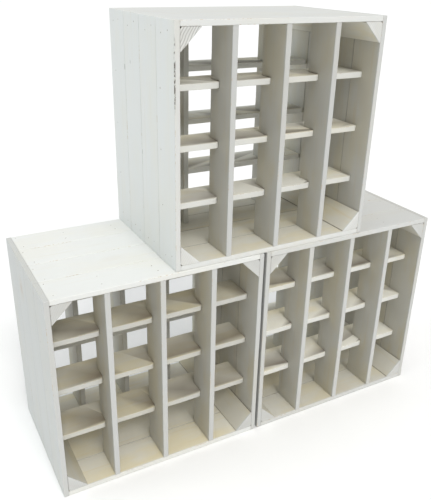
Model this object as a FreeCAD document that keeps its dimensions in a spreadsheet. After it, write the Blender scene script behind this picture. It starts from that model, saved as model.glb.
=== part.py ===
import FreeCAD, Part
import math
import os

import Sketcher
from FreeCAD import Placement, Rotation, Vector

# A wine rack of three loose crates: two stand side by side and the third sits across both.
# Each crate is an open box of nailed boards with four three-cornered posts along its inside
# edges. Two cross-lapped grids of slotted dividers and shelves, one at the front and one at
# the back, carry the neck and the body of each bottle, four by four.
# Millimetres, +Z up, the open front faces -Y, origin under the middle of the whole rack.

SIZES = (
    ("crate_width", 440.0),
    ("crate_height", 440.0),
    ("crate_depth", 300.0),
    ("crate_gap", 6.6),
    ("top_shift", 24.0),
    ("top_setback", 3.0),
    ("panel_thick", 10.0),
    ("board_gap", 0.5),
    ("post_leg", 40.0),
    ("post_nose", 4.0),
    ("grid_board", 75.0),
    ("grid_thick", 11.0),
    ("lap_overlap", 37.5),
    ("lap_notch", 7.5),
    ("lap_clear", 0.25),
    ("shelf_round", 7.0),
    ("nail_thick", 1.4),
    ("nail_long", 25.0),
    ("nail_point", 3.0),
    ("head_across", 2.6),
    ("head_thick", 0.8),
    ("head_sunk", 0.4),
    ("head_clear", 0.1),
    ("post_nail_line", 20.0),
    ("side_nail_pitch", 28.0),
    ("end_nail_pitch", 50.0),
    ("divider_nail_pitch", 28.0),
    ("shelf_nail_inset", 22.0),
    ("post_nail_stray", 5.0),
    ("grid_nail_stray", 2.5),
)
BOARDS_PER_PANEL = 4
BAYS = 4
SHEET_NAME = "Sizes"

doc = FreeCAD.newDocument("wine_rack")


# The turn that points a nail, drawn point down, into each wall.
INWARD = {
    "left": Rotation(Vector(0, 1, 0), -90),
    "right": Rotation(Vector(0, 1, 0), 90),
    "top": Rotation(),
    "bottom": Rotation(Vector(1, 0, 0), 180),
}


class Size:
    """A length held twice: as its number and as the sheet expression that gives it."""

    def __init__(self, number, text):
        self.number = number
        self.text = text

    @staticmethod
    def of(value):
        return value if isinstance(value, Size) else Size(float(value), str(value))

    def __add__(self, other):
        other = Size.of(other)
        return Size(self.number + other.number, f"({self.text} + {other.text})")

    def __sub__(self, other):
        other = Size.of(other)
        return Size(self.number - other.number, f"({self.text} - {other.text})")

    def __mul__(self, other):
        other = Size.of(other)
        return Size(self.number * other.number, f"({self.text} * {other.text})")

    def __truediv__(self, other):
        other = Size.of(other)
        return Size(self.number / other.number, f"({self.text} / {other.text})")

    def __neg__(self):
        return Size(-self.number, f"(0 - {self.text})")


ZERO = Size(0.0, "0")


def number(value):
    return value.number


def fill_sheet():
    """Put every driving dimension in the sheet and hand each back as a Size."""
    sheet = doc.addObject("Spreadsheet::Sheet", SHEET_NAME)
    for row, (name, value) in enumerate(SIZES, start=1):
        sheet.set(f"A{row}", name)
        sheet.set(f"B{row}", str(value))
        sheet.setAlias(f"B{row}", name)
    doc.recompute()
    return {name: Size(float(sheet.get(name)), f"{SHEET_NAME}.{name}") for name, _ in SIZES}


size = fill_sheet()

# What follows from the driving dimensions, for one crate with its origin at the lower left
# corner of its open front.
panel = size["panel_thick"]
inner_width = size["crate_width"] - panel * 2
inner_height = size["crate_height"] - panel * 2
panel_board = (
    size["crate_depth"] - size["board_gap"] * (BOARDS_PER_PANEL - 1)
) / BOARDS_PER_PANEL
board_step = panel_board + size["board_gap"]
bay_width = (inner_width - size["grid_thick"] * (BAYS - 1)) / BAYS
bay_height = (inner_height - size["grid_thick"] * (BAYS - 1)) / BAYS
divider_step = bay_width + size["grid_thick"]
shelf_step = bay_height + size["grid_thick"]
shelf_offset = size["grid_board"] - size["lap_overlap"]
slot_depth = size["lap_overlap"] - size["lap_notch"]
lap_width = size["grid_thick"] + size["lap_clear"] * 2

# Where each crate stands, and whether the dividers of its back grid are flush with its back.
front_y = (size["crate_depth"] + size["top_setback"]) / -2
CRATES = (
    ("left_crate", (-(size["crate_gap"] / 2) - size["crate_width"], front_y, ZERO), True),
    ("right_crate", (size["crate_gap"] / 2, front_y, ZERO), False),
    (
        "top_crate",
        (
            size["top_shift"] - size["crate_width"] / 2,
            front_y + size["top_setback"],
            size["crate_height"],
        ),
        False,
    ),
)


def place(thing, corner, offset=(ZERO, ZERO, ZERO), turn=Rotation()):
    """Bind a thing's place to the sheet: its crate's corner, plus an offset inside the crate."""
    thing.Placement = Placement(Vector(), turn)
    for axis, base, more in zip("xyz", corner, offset):
        thing.setExpression(f"Placement.Base.{axis}", (base + more).text)


def sketch_on(body, role, name):
    """An empty sketch on one of the body's own origin planes."""
    sketch = body.newObject("Sketcher::SketchObject", name)
    plane = next(item for item in body.Origin.OriginFeatures if item.Role == role)
    sketch.AttachmentSupport = (plane, [""])
    sketch.MapMode = "FlatFace"
    return sketch


def pin(sketch, edge, corner):
    """Tie the start point of an edge to the sketch's origin by two driven distances."""
    for kind, axis_id, value in zip(("DistanceX", "DistanceY"), (-2, -1), corner):
        if value.number == 0:
            sketch.addConstraint(Sketcher.Constraint("PointOnObject", edge, 1, axis_id))
            continue
        at = sketch.addConstraint(Sketcher.Constraint(kind, -1, 1, edge, 1, value.number))
        sketch.setExpression(f"Constraints[{at}]", value.text)


def outline(sketch, corners):
    """A closed outline through the corners; one that carries a centre starts a round stretch.

    Each corner is (x, y) or (x, y, (centre x, centre y)), and a round stretch turns the
    shorter way from its corner to the next, about that centre.
    """
    points = [Vector(c[0].number, c[1].number, 0) for c in corners]
    for index, corner in enumerate(corners):
        start = points[index]
        stop = points[(index + 1) % len(points)]
        if len(corner) == 2:
            sketch.addGeometry(Part.LineSegment(start, stop), False)
            continue
        centre = Vector(corner[2][0].number, corner[2][1].number, 0)
        bulge = (start + stop) / 2 - centre
        middle = centre + bulge.normalize() * (start - centre).Length
        sketch.addGeometry(Part.Arc(start, middle, stop), False)
    tie_outline(sketch, corners)


def tie_outline(sketch, corners):
    """Join the outline's edges end to end and bind each corner and each radius to the sheet."""
    turning = {}
    for index, corner in enumerate(corners):
        if len(corner) == 3:
            edge = sketch.Geometry[index]
            begins = edge.StartPoint.distanceToPoint(Vector(corner[0].number, corner[1].number, 0))
            turning[index] = (1, 2) if begins < 1e-6 else (2, 1)
    for index, corner in enumerate(corners):
        after = (index + 1) % len(corners)
        leaves = turning.get(index, (1, 2))[1]
        enters = turning.get(after, (1, 2))[0]
        sketch.addConstraint(Sketcher.Constraint("Coincident", index, leaves, after, enters))
    for index, corner in enumerate(corners):
        if len(corner) == 2:
            pin(sketch, index, corner)
            continue
        before = (index - 1) % len(corners)
        for kind, axis_id, value in zip(("DistanceX", "DistanceY"), (-2, -1), corner[:2]):
            if value.number == 0:
                sketch.addConstraint(Sketcher.Constraint("PointOnObject", before, 2, axis_id))
                continue
            at = sketch.addConstraint(
                Sketcher.Constraint(kind, -1, 1, before, 2, value.number)
            )
            sketch.setExpression(f"Constraints[{at}]", value.text)
        round_by = size["shelf_round"]
        at = sketch.addConstraint(Sketcher.Constraint("Radius", index, round_by.number))
        sketch.setExpression(f"Constraints[{at}]", round_by.text)


def pad(body, sketch, length, name, backwards=False):
    """A pad of the sketch, driven by the sheet."""
    feature = body.newObject("PartDesign::Pad", name)
    feature.Profile = sketch
    feature.Reversed = backwards
    feature.setExpression("Length", length.text)
    return feature


def cut_row(body, sketch, axis, step, name):
    """Pocket the sketch through the board and repeat the cut once for each crossing board."""
    before = body.Shape.Volume
    pocket = body.newObject("PartDesign::Pocket", name)
    pocket.Profile = sketch
    pocket.Type = 1
    pocket.Reversed = True
    row = body.newObject("PartDesign::LinearPattern", name + "_row")
    row.Originals = [pocket]
    row.Direction = (sketch, [axis])
    row.Occurrences = BAYS - 1
    row.setExpression("Length", (step * (BAYS - 2)).text)
    body.Tip = row
    doc.recompute()
    removed = before - body.Shape.Volume
    if removed <= 0:
        raise RuntimeError(f"{body.Label}: {name} cuts nothing")


def divider(label, corner, offset, turned):
    """An upright grid board, slotted from its rear edge for the shelves."""
    body = doc.addObject("PartDesign::Body", label)
    face = sketch_on(body, "YZ_Plane", label + "_face")
    wide = size["grid_board"]
    outline(face, [(ZERO, ZERO), (wide, ZERO), (wide, inner_height), (ZERO, inner_height)])
    pad(body, face, size["grid_thick"], label + "_board")
    doc.recompute()
    slot = sketch_on(body, "YZ_Plane", label + "_slot_face")
    near = wide - slot_depth
    low = bay_height - size["lap_clear"]
    high = low + lap_width
    outline(slot, [(near, low), (wide, low), (wide, high), (near, high)])
    cut_row(body, slot, "V_Axis", shelf_step, label + "_slot")
    set_down(body, corner, offset, turned, size["grid_thick"])
    return body


def shelf(label, corner, offset, turned):
    """A level grid board with eased front corners, notched in front of each divider's slot."""
    body = doc.addObject("PartDesign::Body", label)
    face = sketch_on(body, "XY_Plane", label + "_face")
    wide = size["grid_board"]
    ease = size["shelf_round"]
    outline(
        face,
        [
            (ease, ZERO),
            (inner_width - ease, ZERO, (inner_width - ease, ease)),
            (inner_width, ease),
            (inner_width, wide),
            (ZERO, wide),
            (ZERO, ease, (ease, ease)),
        ],
    )
    pad(body, face, size["grid_thick"], label + "_board")
    doc.recompute()
    notch = sketch_on(body, "XY_Plane", label + "_notch_face")
    left = bay_width - size["lap_clear"]
    right = left + lap_width
    deep = size["lap_notch"]
    outline(
        notch,
        [
            (left - ease, ZERO, (left - ease, ease)),
            (left, ease),
            (left, deep),
            (right, deep),
            (right, ease, (right + ease, ease)),
            (right + ease, ZERO),
        ],
    )
    cut_row(body, notch, "H_Axis", divider_step, label + "_notch")
    set_down(body, corner, offset, turned, inner_width)
    return body


def set_down(body, corner, offset, turned, along):
    """Place a grid board; a turned one faces the other way about its own upright middle."""
    if not turned:
        place(body, corner, offset)
        return
    x, y, z = offset
    place(
        body,
        corner,
        (x + along, y + size["grid_board"], z),
        Rotation(Vector(0, 0, 1), 180),
    )


def grid(crate, corner, where, start_y, flush_back):
    """Three dividers and three shelves, cross-lapped; flush_back turns the whole grid round."""
    divider_y = start_y
    shelf_y = start_y + shelf_offset
    if flush_back:
        divider_y, shelf_y = shelf_y, divider_y
    boards = []
    for number in range(1, BAYS):
        x = panel + divider_step * number - size["grid_thick"]
        label = f"{crate}_{where}_divider_{number}"
        boards.append(divider(label, corner, (x, divider_y, panel), flush_back))
    for number in range(1, BAYS):
        z = panel + shelf_step * number - size["grid_thick"]
        label = f"{crate}_{where}_shelf_{number}"
        boards.append(shelf(label, corner, (panel, shelf_y, z), flush_back))
    return boards


def board_wall(label, corner, first, lengths, wall, spots):
    """A wall of boards laid edge to edge from front to back, countersunk for its nail heads."""
    boards = []
    for index in range(BOARDS_PER_PANEL):
        board = doc.addObject("Part::Box", f"{label}_{index + 1}")
        for side, length in zip(("Length", "Width", "Height"), lengths):
            board.setExpression(side, length.text)
        place(board, first, (ZERO, board_step * index, ZERO))
        boards.append(board)
    blank = doc.addObject("Part::Compound", label + "_blank")
    blank.Links = boards
    across = number(size["head_across"]) / 2 + number(size["head_clear"])
    deep = number(size["head_sunk"]) + number(size["head_thick"])
    sinks = doc.addObject("Part::Feature", label + "_sinks")
    sinks.Shape = Part.makeCompound(
        [
            Part.makeCylinder(across, deep, spot, INWARD[wall].multVec(Vector(0, 0, -1)))
            for spot in (Vector(*point) for side, point in spots if side == wall)
        ]
    )
    cut = doc.addObject("Part::Cut", label)
    cut.Base = blank
    cut.Tool = sinks
    place(cut, corner)
    return cut


def shell(crate, corner, spots):
    """The four walls: full-height sides with the top and bottom boards set between them."""
    upright = (panel, panel_board, size["crate_height"])
    level = (inner_width, panel_board, panel)
    far_x = size["crate_width"] - panel
    top_z = size["crate_height"] - panel
    walls = (
        ("left", (ZERO, ZERO, ZERO), upright),
        ("right", (far_x, ZERO, ZERO), upright),
        ("bottom", (panel, ZERO, ZERO), level),
        ("top", (panel, ZERO, top_z), level),
    )
    return [
        board_wall(f"{crate}_{wall}_boards", corner, first, lengths, wall, spots)
        for wall, first, lengths in walls
    ]


def corner_posts(crate, corner):
    """Four three-cornered posts along the inside edges, the square nose of each one trimmed."""
    leg = size["post_leg"]
    nose = size["post_nose"]
    right = size["crate_width"] - panel
    top = size["crate_height"] - panel
    spots = ((panel, panel), (panel, top), (right, top), (right, panel))
    posts = []
    for quarter, (x, z) in enumerate(spots):
        body = doc.addObject("PartDesign::Body", f"{crate}_post_{quarter + 1}")
        end = sketch_on(body, "XZ_Plane", f"{crate}_post_{quarter + 1}_end")
        outline(end, [(nose, ZERO), (leg, ZERO), (ZERO, leg), (ZERO, nose)])
        pad(body, end, size["crate_depth"], f"{crate}_post_{quarter + 1}_run", True)
        place(body, (x, ZERO, z), turn=Rotation(Vector(0, 1, 0), 90 * quarter))
        posts.append(body)
    group = doc.addObject("Part::Compound", f"{crate}_corner_posts")
    group.Links = posts
    place(group, corner)
    return group


def master_nail():
    """One wire nail, point down along -Z, its head sunk just below z = 0."""
    under_head = -(size["head_sunk"] + size["head_thick"])
    head = doc.addObject("Part::Cylinder", "nail_head")
    head.setExpression("Radius", (size["head_across"] / 2).text)
    head.setExpression("Height", size["head_thick"].text)
    place(head, (ZERO, ZERO, under_head))
    straight = size["nail_long"] - size["nail_point"] - size["head_thick"]
    shank = doc.addObject("Part::Cylinder", "nail_shank")
    shank.setExpression("Radius", (size["nail_thick"] / 2).text)
    shank.setExpression("Height", straight.text)
    place(shank, (ZERO, ZERO, under_head - straight))
    point = doc.addObject("Part::Cone", "nail_tip")
    point.setExpression("Radius2", (size["nail_thick"] / 2).text)
    point.Radius1 = 0
    point.setExpression("Height", size["nail_point"].text)
    place(point, (ZERO, ZERO, under_head - straight - size["nail_point"]))
    nail = doc.addObject("Part::MultiFuse", "nail")
    nail.Shapes = [head, shank, point]
    doc.recompute()
    return nail


def about(middle, pitch):
    """The two places half a pitch each side of the middle."""
    return (middle - pitch / 2, middle + pitch / 2)


def strayed(spots, reach, phase):
    """Hand-driven nails land a little off their marks, never further than reach each way."""
    moved = []
    for count, (wall, (x, y, z)) in enumerate(spots):
        along = reach * math.sin(2.4 * count + phase)
        across = reach * math.sin(1.7 * count + 2.0 * phase + 1.0)
        if wall in ("left", "right"):
            moved.append((wall, (x, y + across, z + along)))
        else:
            moved.append((wall, (x + along, y + across, z)))
    return moved


def shell_nail_spots(phase):
    """Where each board is nailed to the posts: two nails at each end of every board."""
    width = number(size["crate_width"])
    height = number(size["crate_height"])
    line = number(size["post_nail_line"])
    spots = []
    for index in range(BOARDS_PER_PANEL):
        middle = number(board_step) * index + number(panel_board) / 2
        for y in about(middle, number(size["side_nail_pitch"])):
            for z in (line, height - line):
                spots.append(("left", (0, y, z)))
                spots.append(("right", (width, y, z)))
        for y in about(middle, number(size["end_nail_pitch"])):
            for x in (line, width - line):
                spots.append(("top", (x, y, height)))
                spots.append(("bottom", (x, y, 0)))
    return strayed(spots, number(size["post_nail_stray"]), phase)


def grid_nail_spots(grids, phase):
    """Where the walls are nailed to the grids: one nail in each end of a shelf, two in each
    end of a divider."""
    width = number(size["crate_width"])
    height = number(size["crate_height"])
    wide = number(size["grid_board"])
    half = number(size["grid_thick"]) / 2
    inset = number(size["shelf_nail_inset"])
    spots = []
    for divider_y, shelf_y, at_back in grids:
        shelf_nail_y = shelf_y + (wide - inset if at_back else inset)
        for index in range(1, BAYS):
            z = number(panel) + number(shelf_step) * index - half
            spots.append(("left", (0, shelf_nail_y, z)))
            spots.append(("right", (width, shelf_nail_y, z)))
            x = number(panel) + number(divider_step) * index - half
            for y in about(divider_y + wide / 2, number(size["divider_nail_pitch"])):
                spots.append(("top", (x, y, height)))
                spots.append(("bottom", (x, y, 0)))
    return strayed(spots, number(size["grid_nail_stray"]), phase)


def nail_group(label, nail, corner, spots):
    """All the nails of one kind in one crate, each a separate solid."""
    group = doc.addObject("Part::Feature", label)
    copies = []
    for wall, spot in spots:
        copy = nail.Shape.copy()
        copy.Placement = Placement(Vector(*spot), INWARD[wall])
        copies.append(copy)
    group.Shape = Part.makeCompound(copies)
    place(group, corner)
    return group


def build_crate(crate, corner, flush_back, nail, phase):
    """One crate: walls, posts, front grid, back grid and its nails."""
    grid_depth = shelf_offset + size["grid_board"]
    back_y = size["crate_depth"] - grid_depth
    offset = number(shelf_offset)
    back = number(back_y)
    back_rows = (back + offset, back, True) if flush_back else (back, back + offset, True)
    shell_spots = shell_nail_spots(phase)
    grid_spots = grid_nail_spots(((0.0, offset, False), back_rows), phase)
    nodes = shell(crate, corner, shell_spots + grid_spots)
    nodes.append(corner_posts(crate, corner))
    nodes += grid(crate, corner, "front", ZERO, False)
    nodes += grid(crate, corner, "back", back_y, flush_back)
    nodes.append(nail_group(f"{crate}_shell_nails", nail, corner, shell_spots))
    nodes.append(nail_group(f"{crate}_grid_nails", nail, corner, grid_spots))
    return nodes


def write_nodes(nodes):
    """Stop on any failed object or bad shape, then write one STEP file for each node."""
    doc.recompute()
    for item in doc.Objects:
        if "Invalid" in item.State or "Error" in item.State:
            raise RuntimeError(f"{item.Label} failed: {item.State}")
    for node in nodes:
        if node.Shape.isNull() or not node.Shape.isValid():
            raise RuntimeError(f"{node.Label} has no valid shape")
    os.makedirs("parts", exist_ok=True)
    for node in nodes:
        node.Shape.exportStep(f"parts/{node.Label}.step")
        print(node.Label, len(node.Shape.Solids), "solids", round(node.Shape.Volume), "mm3")


def main():
    nail = master_nail()
    nodes = []
    for phase, (crate, corner, flush_back) in enumerate(CRATES):
        nodes += build_crate(crate, corner, flush_back, nail, phase)
    write_nodes(nodes)


main()
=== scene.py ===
import math

import bpy
import numpy as np
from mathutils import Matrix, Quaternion, Vector


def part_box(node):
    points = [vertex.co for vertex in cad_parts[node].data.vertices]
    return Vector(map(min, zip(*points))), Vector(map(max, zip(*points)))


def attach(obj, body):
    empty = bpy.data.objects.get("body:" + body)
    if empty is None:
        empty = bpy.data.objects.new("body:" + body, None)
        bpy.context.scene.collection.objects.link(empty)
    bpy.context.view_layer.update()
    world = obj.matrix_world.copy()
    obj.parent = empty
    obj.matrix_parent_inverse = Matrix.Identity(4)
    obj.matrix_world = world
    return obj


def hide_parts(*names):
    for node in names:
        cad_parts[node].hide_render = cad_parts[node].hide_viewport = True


# A wine rack of three painted wooden crates: board-by-board skins, joinery and finishes.
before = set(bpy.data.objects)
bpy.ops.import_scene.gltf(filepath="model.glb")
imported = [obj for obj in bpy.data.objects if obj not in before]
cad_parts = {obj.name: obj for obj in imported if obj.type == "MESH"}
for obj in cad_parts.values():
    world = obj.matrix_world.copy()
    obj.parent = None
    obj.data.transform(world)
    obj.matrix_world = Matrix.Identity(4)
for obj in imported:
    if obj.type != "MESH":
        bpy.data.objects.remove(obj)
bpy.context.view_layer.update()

# ---------------------------------------------------------------------------------------
# Measures shared with the joinery, in metres
# ---------------------------------------------------------------------------------------
CRATES = ("left_crate", "right_crate", "top_crate")
WALLS = ("left", "right", "bottom", "top")
BOARDS_PER_WALL = 4
CROSSING_BOARDS = (1, 2, 3)
BOARD_GAP = 0.0005
POST_LEG = 0.040
POST_NOSE = 0.004
POST_SHY = 0.0003
POST_TIP_ALONG = 0.0020
POST_TIP_UP = 0.0014
LAP_OVERLAP = 0.0375
LAP_NOTCH = 0.0075
LAP_CLEAR = 0.00025
SHELF_ROUND = 0.007
NAIL_SUNK = 0.0004
NAIL_HEAD_REACH = 0.004
DIMPLE_FLOOR = 0.00145
DIMPLE_RIM = 0.0020
DIMPLE_MIDDLE = 0.0008
DIMPLE_APART = 0.0015
EASED_EDGE = 0.0011
SKIN_OUTER = 0.0012
SKIN_INNER = 0.0004
FRONT_DEPTH = 0.004

rng = np.random.default_rng(41)


def node_box(node):
    """Lowest and highest corner of a node of the frame."""
    low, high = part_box(node)
    return np.array(low), np.array(high)


# ---------------------------------------------------------------------------------------
# Shapes
# ---------------------------------------------------------------------------------------
def signed_volume(points, groups):
    """Six times the volume inside a closed skin: a . (b x c) summed over each face's fan."""
    total = 0.0
    for faces in groups:
        a = points[faces[:, 0]]
        for k in range(1, faces.shape[1] - 1):
            b, c = points[faces[:, k]], points[faces[:, k + 1]]
            total += np.einsum("ij,ij->", a, np.cross(b, c))
    return total


def tube_faces(rings, around):
    """Quads between neighbouring rings of a tube, and one face over each end."""
    row = np.arange(rings - 1)[:, None] * around
    here = np.arange(around)[None, :]
    after = (here + 1) % around
    corners = (row + here, row + after, row + around + after, row + around + here)
    quads = np.stack([corner.ravel() for corner in corners], 1)
    caps = np.stack([here[0][::-1], here[0] + (rings - 1) * around])
    return [quads, caps]


def wooden_piece(node, skins, finish, body):
    """One piece that stands for a node, from closed tubes: (points, rings, worn edge, seam)."""
    points, faces, worn, seams, tone = [], [], [], [], []
    count = 0
    for skin, rings, edge, seam in skins:
        groups = tube_faces(rings, len(skin) // rings)
        if signed_volume(skin, groups) < 0:
            groups = [group[:, ::-1] for group in groups]
        for group in groups:
            faces += (group + count).tolist()
        points.append(skin)
        worn.append(edge)
        seams.append(seam)
        tone.append(np.full(len(skin), rng.uniform(0, 1)))
        count += len(skin)
    mesh = bpy.data.meshes.new(node + "_wood")
    mesh.from_pydata(np.concatenate(points), [], faces)
    for label, values in (("worn_edge", worn), ("seam", seams), ("board_tone", tone)):
        layer = mesh.attributes.new(label, "FLOAT", "POINT")
        layer.data.foreach_set("value", np.concatenate(values).astype(np.float32))
    mesh.materials.append(finish)
    piece = bpy.data.objects.new(node + "_wood", mesh)
    bpy.context.scene.collection.objects.link(piece)
    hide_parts(node)
    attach(piece, body)
    return piece


def wandering(count, smooth):
    """A row of factors that drifts gently about 1, as a hand-eased edge does."""
    kernel = np.hanning(2 * smooth + 1)
    kernel /= np.sqrt((kernel ** 2).sum())
    drift = np.convolve(rng.normal(0, 1, count + 2 * smooth), kernel, "valid")
    return np.clip(1 + 0.3 * drift, 0.5, 1.7)


def stops(start, stop, step, marks_and_shade):
    """Even places from start to stop, with a close cluster round each mark."""
    even = np.linspace(start, stop, max(2, round((stop - start) / step) + 1))
    half = np.array([DIMPLE_MIDDLE, DIMPLE_FLOOR, DIMPLE_RIM])
    reach = np.concatenate([-half[::-1], half])
    near = (np.unique(marks_and_shade)[:, None] + reach[None, :]).ravel()
    near = near[(near > start + DIMPLE_MIDDLE) & (near < stop - DIMPLE_MIDDLE)]
    gaps = np.abs(even[:, None] - near[None, :]).min(1) if len(near) else np.ones(len(even))
    ends = (even == start) | (even == stop)
    return np.sort(np.concatenate([even[(gaps > DIMPLE_APART) | ends], near]))


def board_skin(length, width, thick, nails, neighbours, butted):
    """A wall board: a section with four quarter-round corners, carried along the length.

    Each corner is centre + e (cos, sin), with e drifting along the board. The outer face
    sinks by NAIL_SUNK inside each nail's dimple and rises evenly to the dimple's rim. The
    section is pressed inwards by a quarter round at both ends. Edges that meet one of the
    neighbours, and butted ends, count as seams. The rows are distance along, across and
    out from the inner face.
    """
    e = EASED_EDGE
    nails = np.array(nails).reshape(-1, 2)
    turn = np.radians([0, 45, 90])
    nose, press = e * (1 - np.cos(turn)), 0.8 * e * (1 - np.sin(turn))
    middle = stops(3 * e, length - 3 * e, 0.03, nails[:, 0])
    along = np.concatenate([nose, middle, length - nose[::-1]])[:, None]
    pressed = np.concatenate([press, 0 * middle, press[::-1]])[:, None]
    across = stops(2.2 * e, width - 2.2 * e, 0.02, nails[:, 1])[None, :]
    rings = len(along)
    us, ns, edges, seams = [], [], [], []
    for far_u, far_n, start in ((0, 0, 270), (0, 1, 180), (1, 1, 90), (1, 0, 0)):
        phi = np.radians(start - np.array([0, 30, 60, 90]))[None, :]
        ease = e * wandering(rings, 2)[:, None]
        us.append((width - ease if far_u else ease) + ease * np.cos(phi))
        ns.append((thick - ease if far_n else ease) + ease * np.sin(phi))
        edges.append(np.tile([0.0, 1.0, 1.0, 0.0], (rings, 1)))
        closing = [0.0, 0.5, 1.0, 1.0] if far_u == far_n else [1.0, 1.0, 0.5, 0.0]
        seams.append(np.tile(closing, (rings, 1)) * neighbours[far_u])
        if (far_u, far_n) == (0, 1):
            away = np.full((rings, across.size), 1.0)
            for nail_s, nail_u in nails:
                away = np.minimum(away, np.hypot(along - nail_s, across - nail_u))
            dimple = np.clip((DIMPLE_RIM - away) / (DIMPLE_RIM - DIMPLE_FLOOR), 0, 1)
            us.append(np.broadcast_to(across, away.shape))
            ns.append(thick - 1.15 * NAIL_SUNK * dimple)
            edges.append(np.zeros_like(away))
            seams.append(np.zeros_like(away))
    u, n, edge, seam = (np.concatenate(part, 1) for part in (us, ns, edges, seams))
    u = np.clip(u, pressed, width - pressed)
    n = np.clip(n, pressed, thick - pressed)
    edge[[1, -2]] = 1.0
    seam[[0, 1, -2, -1]] = butted
    s = np.broadcast_to(along, u.shape)
    return np.stack([s, u, n], -1).reshape(-1, 3), rings, edge.ravel(), seam.ravel()


def slab_skin(corners, thick, seams=None, ease=EASED_EDGE, step=0.014):
    """A board sawn to an outline: the outline carried through the thickness.

    Long edges are divided about a step apart. Each ring of the outline is moved inwards
    along its mitres by e (1 - sin t) while it climbs by e (1 - cos t) through a quarter
    round, then the same in reverse at the other face. Each corner may be a seam, by share.
    Rows are two outline axes and height.
    """
    seams = np.zeros(len(corners)) if seams is None else np.asarray(seams, float)
    corners = np.column_stack([np.asarray(corners, float), seams])
    after = np.roll(corners, -1, 0)
    runs = []
    for start, stop in zip(corners, after):
        parts = max(1, round(np.linalg.norm((stop - start)[:2]) / step))
        runs.append(start + (stop - start) * np.arange(parts)[:, None] / parts)
    line, seam = np.split(np.concatenate(runs), [2], axis=1)
    ahead = np.roll(line, -1, 0) - line
    ahead /= np.linalg.norm(ahead, axis=1)[:, None]
    area = np.cross(line, np.roll(line, -1, 0)).sum()
    left = np.stack([-ahead[:, 1], ahead[:, 0]], 1) * np.sign(area)
    left_behind = np.roll(left, 1, 0)
    mitre = (left + left_behind) / (1 + (left * left_behind).sum(1))[:, None]
    size = ease * wandering(len(line), 2)
    turn = np.radians([0, 30, 60, 90])
    inward = np.concatenate([1 - np.sin(turn), (1 - np.sin(turn))[::-1]])
    near = np.concatenate([1 - np.cos(turn), np.zeros(4)])
    far = np.concatenate([np.zeros(4), (1 - np.cos(turn))[::-1]])
    base = np.repeat([0.0, thick], 4)
    plane = line[None] + mitre[None] * (inward[:, None] * size)[..., None]
    height = base[:, None] + (near - far)[:, None] * size
    edge = np.broadcast_to(np.array([0, 1, 1, 0, 0, 1, 1, 0.0])[:, None], height.shape)
    skin = np.concatenate([plane, height[..., None]], -1).reshape(-1, 3)
    return skin, 8, edge.ravel(), np.broadcast_to(seam.ravel(), height.shape).ravel()


def quarter(centre, radius, start, stop, parts=4):
    """Points on a round corner, from one angle to another in degrees."""
    angle = np.radians(np.linspace(start, stop, parts + 1))
    return [(centre[0] + radius * math.cos(a), centre[1] + radius * math.sin(a)) for a in angle]


# ---------------------------------------------------------------------------------------
# Finishes
# ---------------------------------------------------------------------------------------
class Amount:
    """A number that varies over a surface; arithmetic on it adds Math nodes."""

    def __init__(self, finish, socket):
        self.finish = finish
        self.socket = socket

    def _math(self, operation, first, second=None, clamp=False):
        inputs = {0: first} if second is None else {0: first, 1: second}
        settings = {"operation": operation, "use_clamp": clamp}
        return Amount(self.finish, self.finish.add("ShaderNodeMath", settings, inputs).outputs[0])

    def __add__(self, other):
        return self._math("ADD", self, other)

    __radd__ = __add__

    def __sub__(self, other):
        return self._math("SUBTRACT", self, other)

    def __rsub__(self, other):
        return self._math("SUBTRACT", other, self)

    def __mul__(self, other):
        return self._math("MULTIPLY", self, other)

    __rmul__ = __mul__

    def __truediv__(self, other):
        return self._math("DIVIDE", self, other)

    def __pow__(self, other):
        return self._math("POWER", self, other)

    def __abs__(self):
        return self._math("ABSOLUTE", self)

    def over(self, other):
        """The larger of the two."""
        return self._math("MAXIMUM", self, other)

    def wave(self):
        """Its sine, from -1 to 1."""
        return self._math("SINE", self)

    def held(self):
        """Kept between 0 and 1."""
        return self._math("ADD", self, 0.0, clamp=True)

    def rise(self, low, high):
        """0 below low, 1 above high, and a smooth step between; low may be above high."""
        settings = {"interpolation_type": "SMOOTHSTEP"}
        values = {"Value": self, "From Min": low, "From Max": high}
        node = self.finish.add("ShaderNodeMapRange", settings, values)
        return Amount(self.finish, node.outputs[0])


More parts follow.
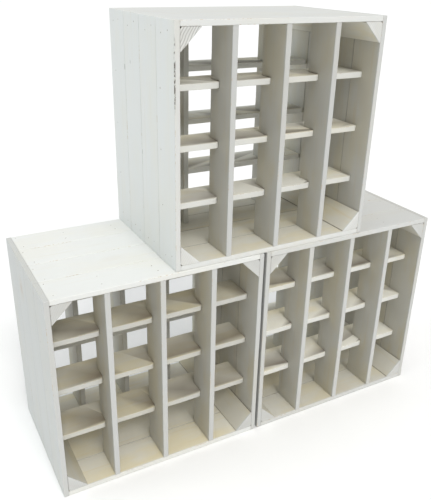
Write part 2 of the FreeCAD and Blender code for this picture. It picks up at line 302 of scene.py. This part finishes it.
class Finish:
    """A material under construction, on one Principled shader."""

    def __init__(self, name, **constants):
        self.material = bpy.data.materials.new(name)
        self.material.use_nodes = True
        self.tree = self.material.node_tree
        self.tree.nodes.clear()
        self.shader = self.add("ShaderNodeBsdfPrincipled", {}, constants)
        output = self.add("ShaderNodeOutputMaterial")
        self.tree.links.new(self.shader.outputs[0], output.inputs["Surface"])
        self.place = self.add("ShaderNodeTexCoord").outputs["Object"]

    def add(self, kind, settings=None, values=None):
        """One node: its type, its settings first, then its sockets' values or links."""
        node = self.tree.nodes.new(kind)
        for key, value in (settings or {}).items():
            setattr(node, key, value)
        for key, value in (values or {}).items():
            self.put(node.inputs[key], value)
        return node

    def put(self, socket, value):
        """A link into a socket, or a plain value on it."""
        if isinstance(value, Amount):
            value = value.socket
        if isinstance(value, bpy.types.NodeSocket):
            self.tree.links.new(value, socket)
        else:
            socket.default_value = value

    def axis(self, letter):
        """Distance along an axis of the frame."""
        split = self.add("ShaderNodeSeparateXYZ", values={0: self.place})
        return Amount(self, split.outputs["XYZ".index(letter)])

    def facing(self, letter):
        """How squarely the surface faces along an axis, 0 to 1."""
        normal = self.add("ShaderNodeNewGeometry").outputs["Normal"]
        split = self.add("ShaderNodeSeparateXYZ", values={0: normal})
        return abs(Amount(self, split.outputs["XYZ".index(letter)]))

    def written(self, label):
        """A number stored on the mesh."""
        node = self.add("ShaderNodeAttribute", {"attribute_name": label})
        return Amount(self, node.outputs["Fac"])

    def squeezed(self, vector, scale):
        """A place scaled about the origin along each axis."""
        return self.add("ShaderNodeMapping", {}, {"Vector": vector, "Scale": scale}).outputs[0]

    def pushed(self, vector, amount):
        """A place moved equally along all three axes by an amount."""
        values = {0: (1.0, 1.0, 1.0), "Scale": amount}
        move = self.add("ShaderNodeVectorMath", {"operation": "SCALE"}, values).outputs[0]
        values = {0: vector, 1: move}
        return self.add("ShaderNodeVectorMath", {"operation": "ADD"}, values).outputs[0]

    def noise(self, vector, scale, detail, rough, bend=0.0):
        """Cloudy values about a half, finer as the scale grows."""
        values = {
            "Vector": vector, "Scale": scale, "Detail": detail, "Roughness": rough,
            "Distortion": bend,
        }
        return Amount(self, self.add("ShaderNodeTexNoise", {}, values).outputs[0])

    def cells(self, vector, scale):
        """Distance to the nearest cell's middle, and a colour chosen for that cell."""
        node = self.add("ShaderNodeTexVoronoi", {}, {"Vector": vector, "Scale": scale})
        return Amount(self, node.outputs["Distance"]), node.outputs["Color"]

    def blend(self, share, under, above):
        """One colour laid over another by a share."""
        node = self.add("ShaderNodeMix", {"data_type": "RGBA"}, {"Factor": share})
        for name, colour in (("A", under), ("B", above)):
            socket = next(s for s in node.inputs if s.name == name and s.type == "RGBA")
            self.put(socket, colour if isinstance(colour, bpy.types.NodeSocket) else (*colour, 1))
        return next(s for s in node.outputs if s.type == "RGBA")

    def raise_by(self, height, strength, distance, below=None):
        """A bump from a height, over another bump if one is given."""
        values = {"Strength": strength, "Distance": distance, "Height": height}
        if below is not None:
            values["Normal"] = below
        return self.add("ShaderNodeBump", {}, values).outputs[0]


PAINT = (0.700, 0.708, 0.692)
# Cream of thin paint, also used as painted warm shade inside the crate.
CREAM_PAINT_AND_WARM_SHADE = (0.715, 0.652, 0.468)
DULL_PAINT = (0.55, 0.54, 0.50)
# Grey of the painted shade on inner faces that face forward or back.
FACING_SHADE_GREY = (0.56, 0.56, 0.53)
SUNKEN_PAINT = (0.40, 0.38, 0.31)
BARE_WOOD = (0.50, 0.36, 0.20)
KNOT = (0.36, 0.22, 0.11)
SEAM_DARK = (0.16, 0.13, 0.10)
# Dark grey for raw edges, end-grain rings and chips, and the painted shade on one front edge.
RAW_EDGE_AND_SHADE = (0.13, 0.115, 0.10)
STEEL = (0.24, 0.22, 0.20)
RUST = (0.34, 0.25, 0.18)
PAINTED_STEEL = (0.62, 0.62, 0.60)


def painted_softwood(name, crate, grain, cream_and_warm_shade, white, marks_and_shade=None):
    """Thin white paint brushed along the grain over sawn softwood.

    The grain letter is the axis the fibres run along. Streaks, brush lines and fibres are
    noise drawn out along it. Paint thins in broad patches and over the knots, wears through
    on the eased edges, and sinks into the growth rings on the end grain. A callable given
    last adds this finish's own placed blemishes, and on one wall a painted shade.
    """
    finish = Finish(name, IOR=1.45)
    tone = finish.written("board_tone")
    place = finish.pushed(finish.place, tone * 3.0)

    def drawn_out(share):
        """Places squeezed along the grain, so that a pattern on them is drawn out."""
        return finish.squeezed(place, [share if axis == grain else 1.0 for axis in "XYZ"])

    streak = finish.noise(drawn_out(0.05), 120.0, 3.0, 0.55, 0.4)
    fibre = finish.noise(drawn_out(0.05), 620.0, 2.0, 0.6)
    brush = finish.noise(drawn_out(0.015), 330.0, 2.0, 0.5)
    patch = finish.noise(drawn_out(0.45), 13.0, 4.0, 0.6)

    # Knots: rare stretched cells, each with a darker eye and a tannin halo.
    wobble = finish.noise(place, 60.0, 2.0, 0.5)
    near, cell_colour = finish.cells(finish.pushed(drawn_out(0.6), wobble * 0.006), 11.0)
    chosen = finish.add("ShaderNodeSeparateColor", values={0: cell_colour})
    rare = Amount(finish, chosen.outputs[0]).rise(0.80, 0.82)
    knot = near.rise(0.085, 0.05) * rare
    halo = near.rise(0.26, 0.06) * rare
    ring = ((near * 260.0).wave() * 0.5 + 0.5) * halo

    # Growth rings on the end grain: a sine over slanting distance, bent by noise.
    end = finish.facing(grain).rise(0.75, 0.95)
    tilt = finish.axis("X") if grain != "X" else finish.axis("Y")
    rise = finish.axis("Z") if grain != "Z" else finish.axis("Y")
    bent = finish.noise(place, 26.0, 2.0, 0.5) * 0.010
    rings = (((tilt * 0.86 - rise * 0.5 + bent) * 1500.0).wave() * 0.5 + 0.5) ** 2.0

    worn = finish.written("worn_edge")
    nicks = finish.noise(place, 210.0, 3.0, 0.6)
    broad = finish.noise(place, 16.0, 2.0, 0.5)
    rubbed = worn * (nicks + broad * 0.9 - 0.1).rise(0.95, 1.08)

    # The paint is creamer inside the crate than on its outer faces and its front: partly the
    # paint's own cream where it is thin, partly painted warm shade for the inside. Behind the
    # front, surfaces that face forward or back take less of that cream and a duller white,
    # which is painted shade.
    def within(letter, face, way):
        """0 in the wall behind an inner face and 1 from the face on, looking one way."""
        return finish.axis(letter).rise(face - way * SKIN_OUTER, face - way * SKIN_INNER)

    front_face = node_box(f"{crate}_left_boards")[0][1]
    inside = (
        within("X", node_box(f"{crate}_left_boards")[1][0], 1)
        * within("X", node_box(f"{crate}_right_boards")[0][0], -1)
        * within("Z", node_box(f"{crate}_bottom_boards")[1][2], 1)
        * within("Z", node_box(f"{crate}_top_boards")[0][2], -1)
        * finish.axis("Y").rise(front_face + SKIN_OUTER, front_face + FRONT_DEPTH)
    )
    shaded_facing_y = finish.facing("Y").rise(0.5, 0.9) * inside
    inside = inside - shaded_facing_y * 0.6
    # Cream share: thin paint in patches, and inside the crate also painted warm shade.
    cream_share_and_warm_shade = patch.rise(0.42, 0.66) * 0.5 + streak.rise(0.5, 0.75) * 0.2
    cream_share_and_warm_shade = (cream_share_and_warm_shade * (inside * (cream_and_warm_shade + 0.25) + 0.25) + inside * cream_and_warm_shade * 0.7).held()
    # The brightness factor is painted light and shade for each kind of piece.
    thick_coat = tuple(channel * white for channel in PAINT)
    cream_coat_and_warm_shade = tuple(channel * white for channel in CREAM_PAINT_AND_WARM_SHADE)
    colour = finish.blend(cream_share_and_warm_shade, thick_coat, cream_coat_and_warm_shade)
    colour = finish.blend(streak.rise(0.56, 0.80) * (inside * 0.06 + 0.05), colour, BARE_WOOD)
    colour = finish.blend(halo * 0.10 + ring * 0.05, colour, BARE_WOOD)
    colour = finish.blend(knot * 0.22, colour, KNOT)
    colour = finish.blend(end * rings * 0.12, colour, SUNKEN_PAINT)
    colour = finish.blend((tone - 0.5) * 0.05 + 0.03, colour, DULL_PAINT)
    colour = finish.blend(rubbed * 0.55, colour, BARE_WOOD)
    # Painted shade: inner faces that face forward or back are greyed.
    colour = finish.blend(shaded_facing_y * 0.45, colour, FACING_SHADE_GREY)
    # Darker along the seams, much more inside the crate than on its outer faces.
    seam_darkening = finish.written("seam") * (broad * 0.8 + 0.5).held() * (inside * 0.80 + 0.10)
    colour = finish.blend(seam_darkening, colour, SEAM_DARK)
    dent = rubbed * 0.5 + knot * 0.2 + end * rings * 0.4
    if marks_and_shade is not None:
        mark_and_shade, depth = marks_and_shade(finish, place)
        colour = finish.blend(mark_and_shade, colour, RAW_EDGE_AND_SHADE)
        dent = dent + depth
    finish.put(finish.shader.inputs["Base Color"], colour)
    rough = 0.46 + streak * 0.10 + rubbed * 0.25 + end * 0.15
    finish.put(finish.shader.inputs["Roughness"], rough)
    relief = finish.raise_by(brush * 0.6 + streak * 0.4, 0.35, 0.0004)
    relief = finish.raise_by(fibre, 0.18, 0.0002, relief)
    relief = finish.raise_by(1.0 - dent, 0.8, 0.0004, relief)
    finish.put(finish.shader.inputs["Normal"], relief)
    return finish.material


def dull_nail():
    """Wire nail: dark, a little rusty, with paint left on parts of the head."""
    finish = Finish("dull_nail", IOR=1.6)
    spots = finish.noise(finish.place, 900.0, 3.0, 0.6)
    which = finish.noise(finish.place, 14.0, 1.0, 0.5)
    colour = finish.blend(spots.rise(0.4, 0.65), STEEL, RUST)
    painted = which.rise(0.42, 0.56) * spots.rise(0.25, 0.45)
    colour = finish.blend(painted * 0.55, colour, PAINTED_STEEL)
    finish.put(finish.shader.inputs["Base Color"], colour)
    finish.put(finish.shader.inputs["Roughness"], 0.45 + spots * 0.35)
    finish.put(finish.shader.inputs["Normal"], finish.raise_by(spots, 0.5, 0.0003))
    return finish.material


def top_left_wall_marks_and_shade(finish, place):
    """Front edge of the top crate's left wall dulled by painted shade and chipped high up,
    and three dark blemishes.

    Each flaw is an upright ellipse, full where (across / wide)^2 + (up / tall)^2 is below
    a half and gone above 1.2.
    """
    low, high = node_box("top_crate_left_boards")
    front = finish.axis("Y").rise(low[1] + 0.0035, low[1] + 0.0015)
    high_up = abs(finish.axis("Z") - (high[2] - 0.085)).rise(0.075, 0.03)
    bits = finish.noise(finish.squeezed(place, (1.0, 1.0, 0.5)), 260.0, 3.0, 0.6)
    outer = finish.axis("X").rise(low[0] + 0.0022, low[0] + 0.0008)
    chips = front * high_up * outer * bits.rise(0.46, 0.52)
    # Painted shade: the whole front edge is darkened a tenth towards the dark grey.
    blemishes_and_front_shade = chips.over(front * 0.10)
    for y, z, wide, tall in (
        (0.226, 0.339, 0.0016, 0.006),
        (0.148, 0.192, 0.0015, 0.005),
        (0.196, 0.352, 0.0012, 0.004),
    ):
        across = (finish.axis("Y") - (low[1] + y)) / wide
        up = (finish.axis("Z") - (low[2] + z)) / tall
        blemishes_and_front_shade = blemishes_and_front_shade.over((across * across + up * up).rise(1.2, 0.5) * 0.5)
    return blemishes_and_front_shade.held(), chips * 1.5


def ringed_post_end(finish, place):
    """Stripes like open growth rings on the front end of the top crate's upper left post.

    Each ring is a sine over slanting distance, bent by noise and sharpened by a power.
    """
    low, high = node_box("top_crate_corner_posts")
    here = (
        finish.axis("X").rise(low[0] + 0.05, low[0] + 0.049)
        * finish.axis("Z").rise(high[2] - 0.05, high[2] - 0.049)
        * finish.axis("Y").rise(low[1] + 0.001, low[1] + 0.0005)
    )
    bent = finish.noise(place, 30.0, 2.0, 0.5) * 0.006
    slant = finish.axis("X") * 0.86 - finish.axis("Z") * 0.5 + bent
    rings = ((slant * 1350.0).wave() * 0.5 + 0.5) ** 2.5
    return here * rings * 0.42, here * rings * 0.8


# The coat on each kind of piece: its share of cream inside the crate, partly painted warm
# shade, and a brightness. The brightnesses are painted light and shade that balance the
# crates' tones under this studio light; they aren't measured paint.
COATS = {
    "left_crate": {
        "upright": (0.38, 0.80), "level": (0.56, 1.08), "divider": (0.38, 0.79),
        "shelf": (0.60, 0.91), "post": (0.60, 0.87),
    },
    "right_crate": {
        "upright": (0.44, 0.80), "level": (0.46, 0.90), "divider": (0.36, 0.81),
        "shelf": (0.34, 1.32), "post": (0.52, 0.89),
    },
    "top_crate": {
        "upright": (0.26, 0.83), "level": (0.46, 1.02), "divider": (0.32, 0.77),
        "shelf": (0.28, 1.24), "post": (0.52, 1.02),
    },
}
GRAIN = {"upright": "Z", "level": "X", "divider": "Z", "shelf": "X", "post": "Y"}
finishes = {}
for crate, coats in COATS.items():
    for part, (cream_and_warm_shade, white) in coats.items():
        marks_and_shade = ringed_post_end if (crate, part) == ("top_crate", "post") else None
        finishes[crate, part] = painted_softwood(
            f"{crate}_{part}_paint", crate, GRAIN[part], cream_and_warm_shade, white, marks_and_shade
        )
# Painted light: this wall's paint is set brighter than the top crate's other uprights.
finishes["top_crate_left_boards"] = painted_softwood(
    "chipped_wall_paint_and_painted_light", "top_crate", "Z", 0.26, 1.03, top_left_wall_marks_and_shade
)
nail_finish = dull_nail()


# ---------------------------------------------------------------------------------------
# Joinery
# ---------------------------------------------------------------------------------------
def nail_heads(crate, axis, level):
    """Middles of the nail heads whose tops lie at a level along an axis.

    Points of the nails at that level are grouped by the first point within a head's width,
    and each group's middle is halfway between its corners.
    """
    rims = []
    for kind in ("shell_nails", "grid_nails"):
        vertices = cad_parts[f"{crate}_{kind}"].data.vertices
        flat = np.empty(len(vertices) * 3)
        vertices.foreach_get("co", flat)
        rims.append(flat.reshape(-1, 3))
    rims = np.concatenate(rims)
    rims = np.unique(rims[np.abs(rims[:, axis] - level) < 2e-5].round(6), axis=0)
    apart = np.linalg.norm(rims[:, None] - rims[None], axis=2)
    first = (apart < NAIL_HEAD_REACH).argmax(1)
    heads = [rims[first == k] for k in np.unique(first)]
    return np.array([(head.min(0) + head.max(0)) / 2 for head in heads])


def wall_piece(crate, wall):
    """Four boards edge to edge, each with its own dimples for the nails that hold it."""
    node = f"{crate}_{wall}_boards"
    low, high = node_box(node)
    step = (high[1] - low[1] + BOARD_GAP) / BOARDS_PER_WALL
    width = step - BOARD_GAP
    upright = wall in ("left", "right")
    run, out = (2, 0) if upright else (0, 2)
    outward = -1 if wall in ("left", "bottom") else 1
    level = low[out] + NAIL_SUNK if outward < 0 else high[out] - NAIL_SUNK
    nails = nail_heads(crate, out, level)[:, [run, 1]] - low[[run, 1]]
    skins = []
    for i in range(BOARDS_PER_WALL):
        mine = nails[(nails[:, 1] > step * i) & (nails[:, 1] < step * (i + 1))]
        mine = mine - np.array([0, step * i])
        size = (high[run] - low[run], width, high[out] - low[out])
        beside = (float(i > 0), float(i < BOARDS_PER_WALL - 1))
        shape, *rest = board_skin(*size, mine, beside, 0.0 if upright else 1.0)
        skin = np.empty_like(shape)
        skin[:, run] = low[run] + shape[:, 0]
        skin[:, 1] = low[1] + step * i + shape[:, 1]
        skin[:, out] = (high[out] - shape[:, 2]) if outward < 0 else (low[out] + shape[:, 2])
        skins.append((skin, *rest))
    finish = finishes.get(node, finishes[crate, "upright" if upright else "level"])
    wooden_piece(node, skins, finish, crate)


def post_piece(crate):
    """Four three-cornered posts: a right triangle with its corners cut off.

    Every corner but the two on the long sloping face counts as a seam.
    """
    node = f"{crate}_corner_posts"
    low, high = node_box(node)
    near, tip = POST_LEG - POST_TIP_ALONG, POST_TIP_ALONG
    far, toe = POST_LEG - POST_TIP_UP, POST_TIP_UP
    triangle = [
        (POST_NOSE, POST_SHY), (far, POST_SHY), (far, toe), (near, tip),
        (tip, near), (toe, far), (POST_SHY, far), (POST_SHY, POST_NOSE),
    ]
    seams = [1, 1, 1, 0, 0, 1, 1, 1]
    skins = []
    for x, side in ((low[0], 1), (high[0], -1)):
        for z, up in ((low[2], 1), (high[2], -1)):
            shape, *rest = slab_skin(triangle, high[1] - low[1], seams, 0.0004)
            skin = np.stack([x + side * shape[:, 0], low[1] + shape[:, 2], z + up * shape[:, 1]], 1)
            skins.append((skin, *rest))
    wooden_piece(node, skins, finishes[crate, "post"], crate)


def faces_back(crate, where):
    """True where a grid's dividers stand behind its shelves."""
    divider = node_box(f"{crate}_{where}_divider_1")[0][1]
    return divider > node_box(f"{crate}_{where}_shelf_1")[0][1]


def crossings(nodes, axis):
    """Low and high side of each crossing board along an axis, widened by the fit."""
    boxes = [node_box(node) for node in nodes]
    return [(low[axis] - LAP_CLEAR, high[axis] + LAP_CLEAR) for low, high in boxes]


def divider_piece(crate, where, number):
    """An upright grid board: a long rectangle with a slot for each shelf in one edge."""
    node = f"{crate}_{where}_divider_{number}"
    low, high = node_box(node)
    wide, tall = high[1] - low[1], high[2] - low[2]
    outline = [(0, 0), (wide, 0)]
    near = wide - (LAP_OVERLAP - LAP_NOTCH)
    for a, b in crossings([f"{crate}_{where}_shelf_{i}" for i in CROSSING_BOARDS], 2):
        outline += [(wide, a - low[2]), (near, a - low[2]), (near, b - low[2]), (wide, b - low[2])]
    outline += [(wide, tall), (0, tall)]
    shape, *rest = slab_skin(outline, high[0] - low[0])
    y = high[1] - shape[:, 0] if faces_back(crate, where) else low[1] + shape[:, 0]
    skin = np.stack([low[0] + shape[:, 2], y, low[2] + shape[:, 1]], 1)
    wooden_piece(node, [(skin, *rest)], finishes[crate, "divider"], crate)


def shelf_piece(crate, where, number):
    """A level grid board with a shallow notch at each divider and rounded corners beside it.

    The seam values follow the outline: full at a divider, part on the last arc step before
    it, none along the free front and back edges.
    """
    node = f"{crate}_{where}_shelf_{number}"
    low, high = node_box(node)
    long, wide = high[0] - low[0], high[1] - low[1]
    r = SHELF_ROUND
    outline = quarter((r, r), r, 180, 270)
    seams = [1.0, 0.4, 0.0, 0.0, 0.0]
    for a, b in crossings([f"{crate}_{where}_divider_{i}" for i in CROSSING_BOARDS], 0):
        left, right = a - low[0], b - low[0]
        outline += quarter((left - r, r), r, 270, 360) + [(left, LAP_NOTCH), (right, LAP_NOTCH)]
        outline += quarter((right + r, r), r, 180, 270)
        seams += [0.0, 0.0, 0.0, 0.4, 1.0, 1.0, 1.0, 1.0, 0.4, 0.0, 0.0, 0.0]
    seams += [0.0, 0.0, 0.0, 0.4, 1.0, 0.0, 0.0]
    outline += quarter((long - r, r), r, 270, 360) + [(long, wide), (0, wide)]
    shape, *rest = slab_skin(outline, high[2] - low[2], seams)
    y = high[1] - shape[:, 1] if faces_back(crate, where) else low[1] + shape[:, 1]
    skin = np.stack([low[0] + shape[:, 0], y, low[2] + shape[:, 2]], 1)
    wooden_piece(node, [(skin, *rest)], finishes[crate, "shelf"], crate)


for crate in CRATES:
    for wall in WALLS:
        wall_piece(crate, wall)
    post_piece(crate)
    for where in ("front", "back"):
        for number in CROSSING_BOARDS:
            divider_piece(crate, where, number)
            shelf_piece(crate, where, number)
    for kind in ("shell_nails", "grid_nails"):
        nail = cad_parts[f"{crate}_{kind}"]
        nail.data.materials.clear()
        nail.data.materials.append(nail_finish)


# ---------------------------------------------------------------------------------------
# Studio
# ---------------------------------------------------------------------------------------
FLOOR_REACH = 60.0
FLOOR_LEVEL = -0.0006
CAMERA_PLACE = (-0.6296, -1.0791, 0.957)
CAMERA_AIM = (-0.0341, -0.0052, 0.394)
CAMERA_ROLL = -1.253
CAMERA_LENS = 44.52


def pale_floor():
    """A wide level sheet just under the rack."""
    across = np.array([-FLOOR_REACH, FLOOR_REACH])
    x, y = np.meshgrid(across, across)
    points = np.stack([x.ravel(), y.ravel(), np.full(4, FLOOR_LEVEL)], 1)
    mesh = bpy.data.meshes.new("floor")
    mesh.from_pydata(points, [], [(0, 1, 3, 2)])
    finish = Finish("pale_floor", Roughness=0.8)
    soft = finish.noise(finish.place, 3.0, 2.0, 0.5)
    colour = finish.blend(soft, (0.93, 0.93, 0.93), (0.95, 0.95, 0.95))
    finish.put(finish.shader.inputs["Base Color"], colour)
    mesh.materials.append(finish.material)
    floor = bpy.data.objects.new("floor", mesh)
    bpy.context.scene.collection.objects.link(floor)


def soft_sun(name, came_from, width, strength, colour):
    """Even light over the whole floor, as from a very large diffuser far away."""
    lamp = bpy.data.lights.new(name, "SUN")
    lamp.angle = math.radians(width)
    lamp.energy = strength
    lamp.color = colour
    holder = bpy.data.objects.new(name, lamp)
    holder.rotation_euler = (-Vector(came_from)).to_track_quat("-Z", "Y").to_euler()
    bpy.context.scene.collection.objects.link(holder)


def room_light(strength, colour, seen):
    """Even light from all round; the backdrop itself is seen lighter than it shines."""
    world = bpy.data.worlds.new("studio")
    bpy.context.scene.world = world
    world.use_nodes = True
    tree = world.node_tree
    shines = tree.nodes["Background"]
    shines.inputs["Color"].default_value = (*colour, 1)
    shines.inputs["Strength"].default_value = strength
    backdrop = tree.nodes.new("ShaderNodeBackground")
    backdrop.inputs["Color"].default_value = (1, 1, 1, 1)
    backdrop.inputs["Strength"].default_value = seen
    looked_at = tree.nodes.new("ShaderNodeLightPath")
    mix = tree.nodes.new("ShaderNodeMixShader")
    tree.links.new(looked_at.outputs["Is Camera Ray"], mix.inputs[0])
    tree.links.new(shines.outputs[0], mix.inputs[1])
    tree.links.new(backdrop.outputs[0], mix.inputs[2])
    tree.links.new(mix.outputs[0], tree.nodes["World Output"].inputs["Surface"])


def camera(place, aim, roll, lens):
    """A camera that looks from a place at an aim, tilted about its view by degrees."""
    data = bpy.data.cameras.new("camera")
    data.lens = lens
    data.sensor_width = 36.0
    data.clip_start, data.clip_end = 0.01, 200.0
    holder = bpy.data.objects.new("camera", data)
    view = Vector(aim) - Vector(place)
    level = view.to_track_quat("-Z", "Y")
    holder.rotation_mode = "QUATERNION"
    holder.rotation_quaternion = Quaternion(view.normalized(), math.radians(roll)) @ level
    holder.location = place
    bpy.context.scene.collection.objects.link(holder)
    bpy.context.scene.camera = holder


pale_floor()
bpy.context.scene.view_settings.view_transform = "Standard"
room_light(0.36, (0.97, 0.985, 1.0), 0.97)
soft_sun("overhead", (0.0, -0.1, 1.0), 45, 1.16, (1.0, 0.99, 0.975))
soft_sun("front", (-0.08, -1.0, 0.98), 26, 1.56, (1.0, 0.985, 0.95))
soft_sun("left_side", (-1.0, 0.25, 0.5), 50, 0.83, (0.83, 0.955, 1.0))
camera(CAMERA_PLACE, CAMERA_AIM, CAMERA_ROLL, CAMERA_LENS)
